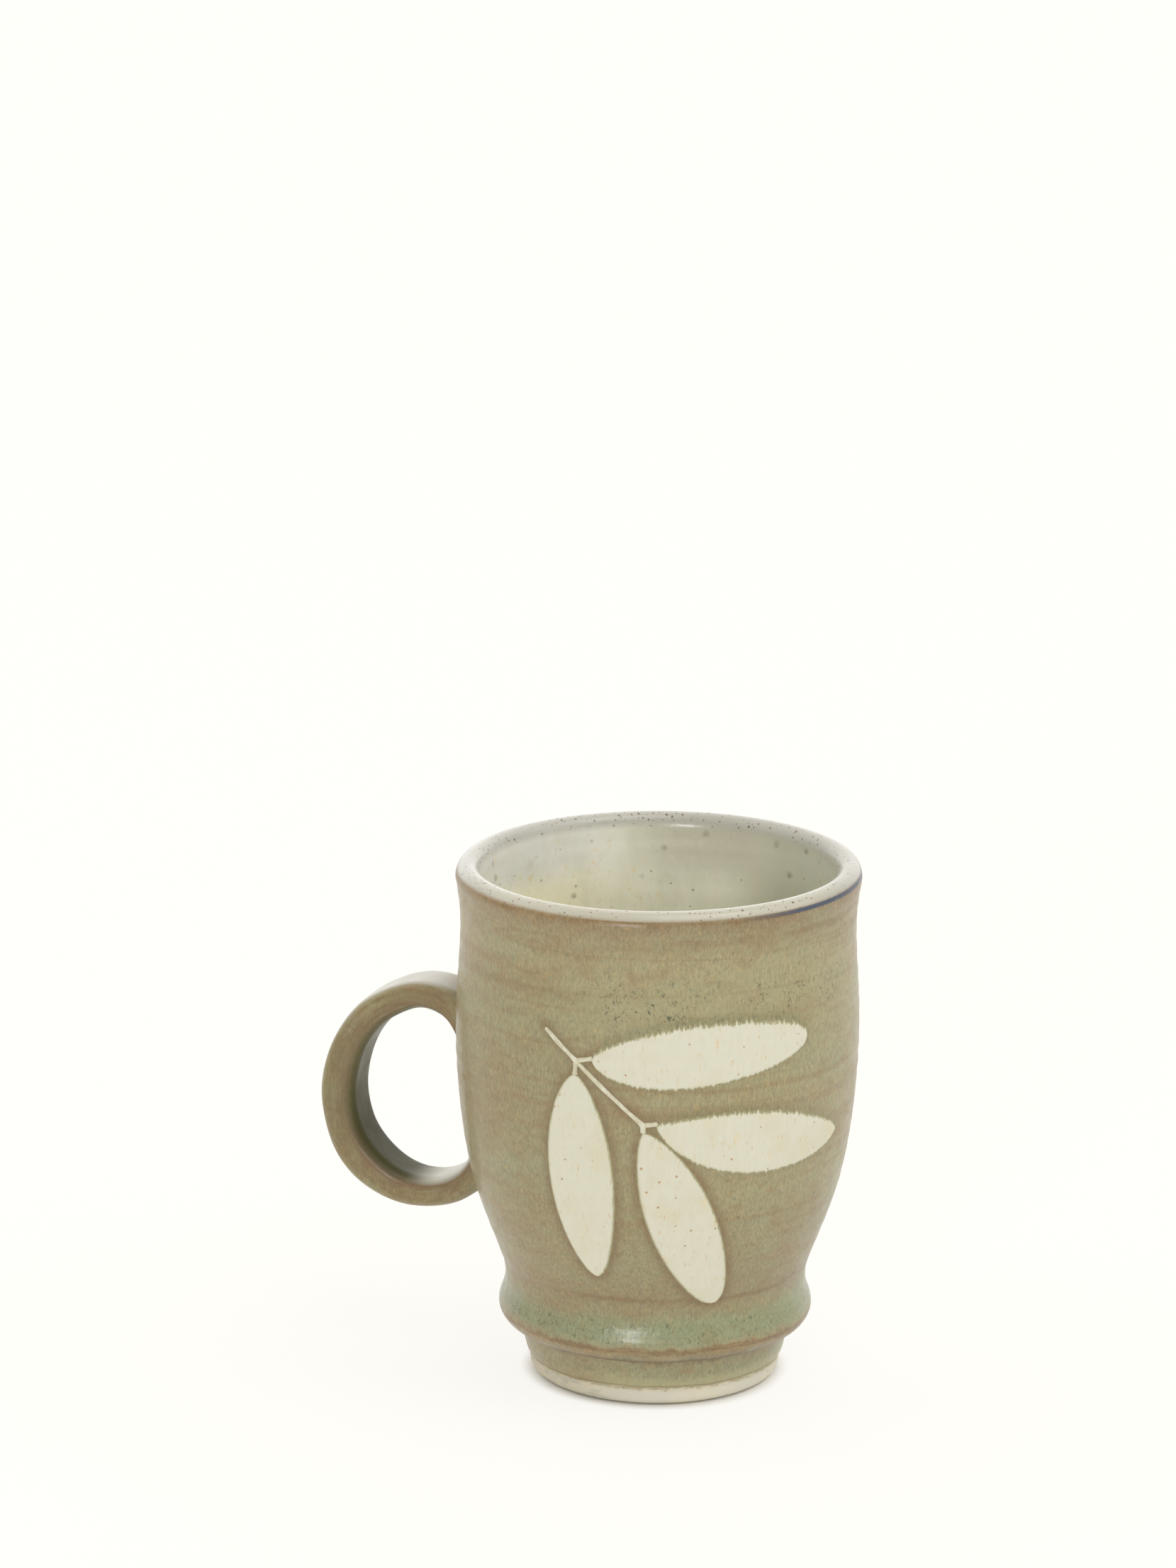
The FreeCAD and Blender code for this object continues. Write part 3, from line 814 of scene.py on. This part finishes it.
def handle_glaze_paint():
    """inner runs from 0 on the strap's outer face to 1 inside its loop, and travel from the
    upper root to the lower one."""
    paint = Paint("olive_handle_glaze")
    lay = paint.lay
    inner, travel = paint.stored("inner"), paint.stored("travel")
    blotch = paint.noise(0.13, 0.13, 8, 4, 0.6)
    paint.ground(paint.between(blotch, 0.36, 0.62), (134, 114, 78), (138, 128, 88))
    strokes = mottled(paint, 0.9)
    fray = paint.noise(0.25, 0.25, 5)
    wavering = paint.plus(inner, paint.between(fray, 0.3, 0.7, -0.08, 0.08))
    # brown where the glaze thins over the inner edges, pale over the outer ones
    lay((122, 100, 68), 0.55, (wavering, 0.42, 0.68, 0.8, 0.98))
    lay((160, 150, 112), 0.25, (wavering, -0.05, 0.06, 0.12, 0.26))
    # the pull of the potter's hand leaves faint lines along the strap
    along = paint.node("CombineXYZ", paint.times(inner, 7), paint.times(travel, 11))
    pulled = paint.noise_at(along.outputs[0], 4, 0.7)
    lay((116, 90, 56), 0.55, (pulled, 0.5, 0.66))
    lay((152, 146, 112), 0.45, (pulled, 0.46, 0.32))
    # rust on the inner edge at the bottom of the loop, and crumbs of it below the upper root
    lay((124, 88, 52), 0.55, (wavering, 0.62, 0.78, 0.88, 0.99), (travel, 0.52, 0.6, 0.72, 0.82))
    lay((122, 92, 64), 0.5, (wavering, 0.1, 0.25, 0.5, 0.7), (travel, 0.09, 0.13, 0.2, 0.29),
        (strokes, 0.4, 0.6))
    # inside the loop the glaze pools green; its darkening there, deepest halfway down, is partly
    # painted shade of the loop's inner side, and the pale patch at the bottom is a painted highlight
    loop_inside = paint.between(inner, 0.74, 0.98)
    lay((104, 102, 76), 0.9, loop_inside)
    # partly painted shade on the loop's inner side
    lay((72, 70, 44), 0.75, (inner, 0.64, 0.97), (travel, 0.4, 0.56, 0.66, 0.76))
    # painted highlight at the bottom of the loop
    lay((228, 225, 212), 0.9, loop_inside, (travel, 0.69, 0.78, 0.9, 0.96))
    # a painted highlight along the top of the strap, and browner down the far side
    lay((200, 198, 186), 0.8, (inner, 0.1, 0), (travel, 0.03, 0.17, 0.28, 0.41))
    lay((110, 94, 62), 0.3, (inner, 0.05, 0.2, 0.8, 0.95), (travel, 0.3, 0.42, 0.55, 0.68))
    lay(IRON, 0.5, paint.specks(0.3, 4, 0.4, 2))
    bumps = paint.noise(0.7, 0.7, 3, 3, 0.6)
    paint.bump(paint.plus(bumps, paint.times(strokes, 0.3)), 0.14, 0.5)
    return paint.finish(paint.between(fray, 0.3, 0.7, 0.26, 0.4),
                        paint.between(inner, 0.8, 0.96, 0.5, 0.12))


def liner_tints(paint, height, angle, clouds):
    """The liner is lighter and yellower down the handle's side, which is painted light, greyer near
    the top there, and greyer across from it and at the back below the lip, which is painted shade.
    """
    lay = paint.lay
    upper_wall = paint.between(height, 40, 84)
    # painted light: the handle's side of the inside lighter and yellower, as if lit from the right
    lay((255, 246, 210), 0.66, (angle, -165, -130, -70, -35), upper_wall,
        paint.between(clouds, 0.3, 0.6, 0.5, 1), (height, 106, 94))
    lay((214, 211, 208), 0.6, (angle, -160, -130, -60, -20), (height, 97, 104))
    # painted shade on the inside across from the handle
    lay((174, 174, 156), 0.92, (angle, 40, 80, 150, 179), upper_wall)
    # painted shade on the back of the inside below the lip
    lay((188, 184, 165), 0.92, (paint.math("ABSOLUTE", angle), 135, 172),
        paint.between(height, 94, 104, 0.1, 1))
    lay((196, 190, 166), 0.2, (paint.noise(0.22, 0.05, 2.4), 0.46, 0.74))
    lay((190, 182, 158), 0.3, (paint.noise(0.35, 0.22, 3.4, 4, 0.65), 0.54, 0.74))
    yolk = paint.between(paint.noise(0.5, 0.5, 8.4, 4, 0.7), 0.58, 0.7)
    lay((232, 200, 120), 0.6, yolk, (angle, -175, -150, -95, -60), upper_wall)
    lay((118, 106, 82), 0.62, paint.specks(1.15, 6, 1.9, 5, 0.9))
    lay((122, 98, 62), 0.6, paint.specks(0.34, 3.2, 1, 11, 0.6))


def lip_tints(paint, height, angle):
    """The lip is greyer, peppered with iron, brown where the liner thins over its edge, and has a
    painted highlight along its front crest.
    """
    lay = paint.lay
    radius = paint.radius()
    lip = paint.between(height, 108.2, 110.4)
    front = paint.window(angle, -65, -30, 60, 95)
    lay((172, 169, 156), 0.9, lip)
    lay((188, 182, 158), 0.6, lip, front)
    for size, pitch, seed in ((0.36, 1.9, 2), (0.24, 1.1, 14)):
        lay((98, 72, 42), 0.9, paint.specks(size, pitch, 1.8, seed), lip)
    drip = paint.between(paint.noise(0.5, 0.5, 7), 0.3, 0.7, -0.25, 0.25)
    lay((146, 114, 70), 0.9, (radius, 41.9, 42.5), (paint.plus(height, drip), 110.95, 110.35))
    # a painted highlight along the crest of the lip at the front
    lay((246, 244, 236), 0.7, (radius, 38.5, 38.9, 39.5, 40), front, (height, 110.9, 111.3))


def liner_paint():
    paint = Paint("cream_liner_glaze")
    height, angle = paint.height(), paint.angle()
    clouds = paint.noise(0.06, 0.035, 1, 4)
    paint.ground(paint.between(clouds, 0.38, 0.64), (246, 244, 228), (236, 236, 218))
    liner_tints(paint, height, angle, clouds)
    lip_tints(paint, height, angle)
    paint.bump(paint.noise(0.8, 0.5, 3), 0.14, 0.5)
    return paint.finish(paint.between(clouds, 0.3, 0.7, 0.24, 0.36), 0.5, coat=0.3)


def leaf_paint():
    paint = Paint("cream_leaf_slip")
    lay = paint.lay
    streaks = paint.noise(0.9, 0.22, 2, 4, 0.7)
    clouds = paint.noise(0.12, 0.12, 4)
    paint.ground(paint.between(streaks, 0.38, 0.7, 0, 0.45), (215, 212, 192), (209, 205, 180))
    lay((210, 202, 170), 0.45, (clouds, 0.48, 0.72))
    lay((226, 200, 150), 0.45, (paint.noise(0.42, 0.2, 6), 0.62, 0.78))
    lay((172, 124, 74), 0.8, paint.specks(0.34, 3.2, 1.3, 1))
    drips = paint.noise(1.3, 0.45, 9, 3, 0.7)
    lay((208, 170, 116), 0.55, (drips, 0.6, 0.7))
    # olive glaze frays over the edges, in upright hairs that are longest where it ran down
    hairs = paint.noise(2.6, 0.42, 0.4, 2, 0.7)
    reach = paint.times(paint.stored("frayed"), paint.between(hairs, 0.3, 0.7))
    depth = paint.math("SUBTRACT", paint.stored("inward"), reach)
    lay((186, 180, 142), 0.35, (depth, 0.75, 0.15))
    lay((150, 144, 104), 0.9, (depth, 0.42, 0))
    paint.bump(paint.noise(1.6, 0.5, 3, 4), 0.1, 0.4)
    return paint.finish(paint.between(clouds, 0.3, 0.7, 0.36, 0.48), 0.4, coat=0.12)


def stem_paint():
    paint = Paint("cream_stem_slip")
    paint.ground(paint.between(paint.noise(0.7, 0.7, 2), 0.35, 0.65),
                 (218, 214, 190), (202, 194, 162))
    paint.bump(paint.noise(2.4, 2.4, 3, 3, 0.7), 0.22, 0.8)
    return paint.finish(0.16, 0.6, coat=0.5)


def clay_paint():
    paint = Paint("bare_stoneware")
    lay = paint.lay
    height, angle = paint.height(), paint.angle()
    grain = paint.noise(1.8, 1.8, 1, 5, 0.65)
    dirty = paint.noise(0.5, 1.4, 4, 4, 0.7)
    paint.ground(paint.between(paint.noise(0.05, 0.1, 2), 0.4, 0.62),
                 (219, 212, 190), (209, 206, 190))
    lay((210, 194, 164), 0.45, (grain, 0.45, 0.75))
    lay((200, 190, 162), 0.5, (height, 2.8, 4), paint.between(dirty, 0.3, 0.6, 0.5, 1))
    # painted shade on the foot's bare clay towards the handle's side
    lay((190, 180, 154), 0.75, (angle, -170, -80, -30, 15))
    # thin glaze has soaked a little way below its edge
    soaked = paint.plus(height, paint.between(dirty, 0.3, 0.7, -0.35, 0.35))
    lay((158, 146, 108), 0.75, (soaked, 3.5, 4.3))
    # a wash of glaze wiped off the foot has left bluish smears on the handle's side
    lay((150, 152, 146), 0.45, (paint.noise(0.22, 0.8, 6), 0.46, 0.66), (angle, -85, -60, -15, 5))
    lay((122, 90, 56), 0.65, paint.specks(0.26, 2.4, 0.5, 3))
    paint.bump(grain, 0.16, 0.5)
    return paint.finish(0.78, 0.3)


# ======== the cup's pieces
def wandering_edge(angle):
    """How far the olive glaze's lower edge stays above its height, at angle in radians."""
    return np.maximum(0, 0.24 + 0.12 * np.sin(angle + 0.35) + 0.09 * np.sin(5 * angle + 1)
                      + 0.06 * np.sin(11 * angle + 2) + 0.05 * np.sin(23 * angle))


def wall_glaze():
    hidden = inset_line(OUTER, GLAZE)
    cornered = hidden[:, 1] < PLAIN_ABOVE
    hidden = np.concatenate([thinned(hidden[cornered], UNSEEN_STEP),
                             thinned(hidden[~cornered], PLAIN_STEP)])
    loop = np.concatenate([OUTER, hidden[::-1]])
    verts = turned_verts(loop, WALL_COLUMNS).reshape(len(loop), WALL_COLUMNS, 3)
    # the lower edge wanders round the foot and thins out there
    low = loop[:, 1] < EDGE_FADES_BY
    height = loop[low, 1][:, None]
    fade = np.clip((EDGE_FADES_BY - height) / (EDGE_FADES_BY - GLAZE_LINE), 0, 1) ** 2
    x, y, old_z = np.moveaxis(verts[low], -1, 0)
    z = old_z + wandering_edge(column_angles(WALL_COLUMNS))[None, :] * fade
    seen = (np.arange(len(loop)) < len(OUTER))[low][:, None]
    thin = EDGE_THINNING * np.exp(-(height - GLAZE_LINE) / EDGE_THINS_WITHIN) * seen
    growth = 1 + (foot_radius(z) - foot_radius(old_z) - thin) / np.hypot(x, y)
    verts[low] = np.stack([x * growth, y * growth, z], -1)
    verts = verts.reshape(-1, 3)
    piece = new_piece("wall_glaze", verts, grid_faces(len(loop), WALL_COLUMNS, True, True))
    set_values(piece, "halo", halo_values(verts))
    set_values(piece, "fringe", fringe_values(verts))
    return piece


def halo_values(verts):
    """Up to 1 beside a leaf or the stem, falling to 0 a little way off."""
    places, strengths = [], []
    for name, (at_base, beyond) in HALO.items():
        left, right, facing = leaf_sides(name, 160)
        share = np.linspace(0, 1, len(left))
        strength = beyond + (at_base - beyond) * np.clip(1 - share / HALO_BASE, 0, 1)
        for side in (left, right):
            places.append(on_wall(side[:, 0], side[:, 1], facing, 0))
            strengths.append(strength)
    for start, end in STEM_LINES:
        angle, height = wall_places(start, end, 0.4).T
        radius, angle = wall_radius(height), np.radians(angle)
        places.append(np.stack([radius * np.sin(angle), -radius * np.cos(angle), height], 1))
        strengths.append(np.ones(len(height)))
    places, strengths = np.concatenate(places), np.concatenate(strengths)
    values = np.zeros(len(verts))
    near = np.where((verts[:, 1] < 10) & (verts[:, 2] > 20) & (verts[:, 2] < 92))[0]
    for chunk in np.array_split(near, 60):
        gap = np.linalg.norm(verts[chunk][:, None, :] - places[None], axis=2) / HALO_REACH
        values[chunk] = np.max(np.exp(-gap ** 2) * strengths[None], axis=1)
    return values


def fringe_values(verts):
    """1 just over the upper edges of the two leaves that the glaze has run down on."""
    values = np.zeros(len(verts))
    angle = np.degrees(np.arctan2(verts[:, 0], -verts[:, 1]))
    for name, amount in (("leaf_upper_right", 1), ("leaf_right", 0.6)):
        upper, _, facing = leaf_sides(name, 160)
        across = wall_radius(verts[:, 2]) * np.sin(np.radians(angle - facing))
        order = np.argsort(upper[:, 0])
        above = verts[:, 2] - np.interp(across, upper[order, 0], upper[order, 1])
        inside = (across > upper[:, 0].min() + 2) & (across < upper[:, 0].max() + 0.5)
        inside &= np.abs(angle - facing) < 60
        values = np.maximum(values, amount * np.exp(-((above - 0.3) / 1.1) ** 2) * inside)
    return values


def hidden_inside(depth):
    """The inside line moved depth into the clay, up to the axis."""
    line = thinned(inset_line(inner_line(LINER_STEP), depth), UNSEEN_STEP)
    return line[line[:, 0] > AXIS_CLEAR]


def liner_glaze():
    floor = BOWL_LINE[-1][1]
    shown = np.concatenate([inner_line(LINER_STEP)[:-1], [(0, floor)]])
    line = np.concatenate([shown[::-1], hidden_inside(GLAZE), [(0, floor - GLAZE)]])
    return lathe_solid("liner_glaze", line, LINER_COLUMNS)


def clay_cup():
    base_edge, swell, edge = [(radius - GLAZE, height)
                              for radius, height in ((BASE_RADIUS, 0), FOOT_SWELL, FOOT_EDGE)]
    # shallow rings left on the base by the turning tool
    radii = np.linspace(0, base_edge[0], 110)[:-1]
    rings = 0.1 * (1 + np.sin(radii * 2.9)) * np.clip((base_edge[0] - radii) / 3, 0, 1)
    base = np.stack([radii, rings], 1)
    foot = smooth_line([base_edge, swell, edge], FOOT_STEP)
    side = smooth_line([edge, (foot_radius(GLAZE_LINE) - GLAZE, GLAZE_LINE)], FOOT_STEP)
    under_glaze = GLAZE + 0.02
    outside = inset_line(OUTER, under_glaze)
    low = outside[:, 1] < CLAY_FINE_BELOW
    outside = np.concatenate([outside[low][1:], thinned(outside[~low], UNSEEN_STEP)])
    centre = [(0, BOWL_LINE[-1][1] - under_glaze)]
    line = np.concatenate([base, foot[:-1], side, outside, hidden_inside(under_glaze)[1:], centre])
    return lathe_solid("clay_cup", line, CLAY_COLUMNS)


# ======== every piece in its place
def assign(piece, material, node):
    piece.data.materials.append(material)
    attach(piece, "root")
    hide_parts(node)


clay = clay_paint()
assign(clay_cup(), clay, "clay_cup")
assign(liner_glaze(), liner_paint(), "liner_glaze")
assign(wall_glaze(), wall_glaze_paint(), "wall_glaze")
assign(strap_mesh("handle_glaze", 0, 14, 96), handle_glaze_paint(),
       "handle_glaze")
assign(strap_mesh("handle_strap", GLAZE, 6, 48), clay, "handle_strap")
for joint, root in JOINTS.items():
    assign(slip_mound(joint, root), clay, joint)
leaf_material = leaf_paint()
for leaf in LEAVES:
    assign(leaf_mesh(leaf), leaf_material, leaf)
assign(stem_mesh(), stem_paint(), "leaf_stem")


# ======== stage, light and camera
def make_floor():
    bpy.ops.mesh.primitive_plane_add(size=6, location=(0, 0, 0))
    floor = bpy.context.object
    floor.name = "floor"
    paint = Paint("pale_floor")
    paint.ground(paint.between(paint.noise(0.02, 0.02, 0, 2), 0.3, 0.7),
                 (240, 238, 233), (239, 237, 231))
    # the sheet glows a little beyond the mug, so that only the contact shadow shows on it
    beyond = paint.between(paint.radius(), 24.6, 29.2)
    paint.lay((100, 99, 97), 1, beyond)
    paint.put(paint.shader.inputs["Emission Color"], FLOOR_GLOW)
    paint.put(paint.shader.inputs["Emission Strength"], paint.times(beyond, FLOOR_GLOW_STRENGTH))
    floor.data.materials.append(paint.finish(0.95, 0))


def way_out(azimuth, elevation):
    """The direction from the mug at azimuth (from -Y towards +X) and elevation."""
    a, e = radians(azimuth), radians(elevation)
    return Vector((sin(a) * cos(e), -cos(a) * cos(e), sin(e)))


def add_light(name, kind, energy, towards):
    data = bpy.data.lights.new(name, kind)
    data.energy = energy
    light = bpy.data.objects.new(name, data)
    light.rotation_euler = towards.to_track_quat("-Z", "Y").to_euler()
    scene.collection.objects.link(light)
    return light


def make_lights():
    """A soft box in front, and wide suns that don't fall off across the floor."""
    way = way_out(*SOFT_BOX["place"])
    box = add_light("front", "AREA", SOFT_BOX["energy"], -way)
    box.location = Vector(SOFT_BOX["target"]) + SOFT_BOX["distance"] * way
    box.data.shape = "RECTANGLE"
    box.data.size, box.data.size_y = SOFT_BOX["size"]
    for name, (azimuth, elevation, energy, spread) in SUNS.items():
        sun = add_light(name, "SUN", energy, -way_out(azimuth, elevation))
        sun.data.angle = radians(spread)


def make_world():
    """An even white room, brighter behind the mug as seen by the camera."""
    world = bpy.data.worlds.new("studio")
    world.use_nodes = True
    nodes, links = world.node_tree.nodes, world.node_tree.links
    background = nodes["Background"]
    background.inputs["Color"].default_value = ROOM_COLOUR
    facing = nodes.new("ShaderNodeVectorMath")
    facing.operation = "DOT_PRODUCT"
    facing.inputs[1].default_value = way_out(CAMERA_AZIMUTH + 180, BACKDROP_ELEVATION)
    links.new(nodes.new("ShaderNodeTexCoord").outputs["Generated"], facing.inputs[0])
    glow = nodes.new("ShaderNodeMapRange")
    glow.interpolation_type = "SMOOTHSTEP"
    for socket, value in zip(glow.inputs[1:], (*BACKDROP_SPREAD, ROOM_STRENGTH, BACKDROP_STRENGTH)):
        socket.default_value = value
    links.new(facing.outputs["Value"], glow.inputs[0])
    links.new(glow.outputs[0], background.inputs["Strength"])
    scene.world = world


def turn(degrees, axis):
    return Matrix.Rotation(radians(degrees), 4, axis)


def make_camera():
    data = bpy.data.cameras.new("camera")
    data.lens = CAMERA_LENS
    data.sensor_width = 36
    data.clip_start, data.clip_end = 0.05, 20
    camera = bpy.data.objects.new("camera", data)
    place = Matrix.Translation(Vector((0, -CAMERA_DISTANCE, CAMERA_HEIGHT)) * MM)
    camera.matrix_world = (turn(CAMERA_AZIMUTH, "Z") @ place @ turn(-CAMERA_YAW, "Z")
                           @ turn(90 - CAMERA_PITCH, "X") @ turn(CAMERA_ROLL, "Z"))
    scene.collection.objects.link(camera)
    scene.camera = camera


make_floor()
make_world()
make_lights()
make_camera()
scene.view_settings.view_transform = "Standard"
scene.view_settings.look = "None"
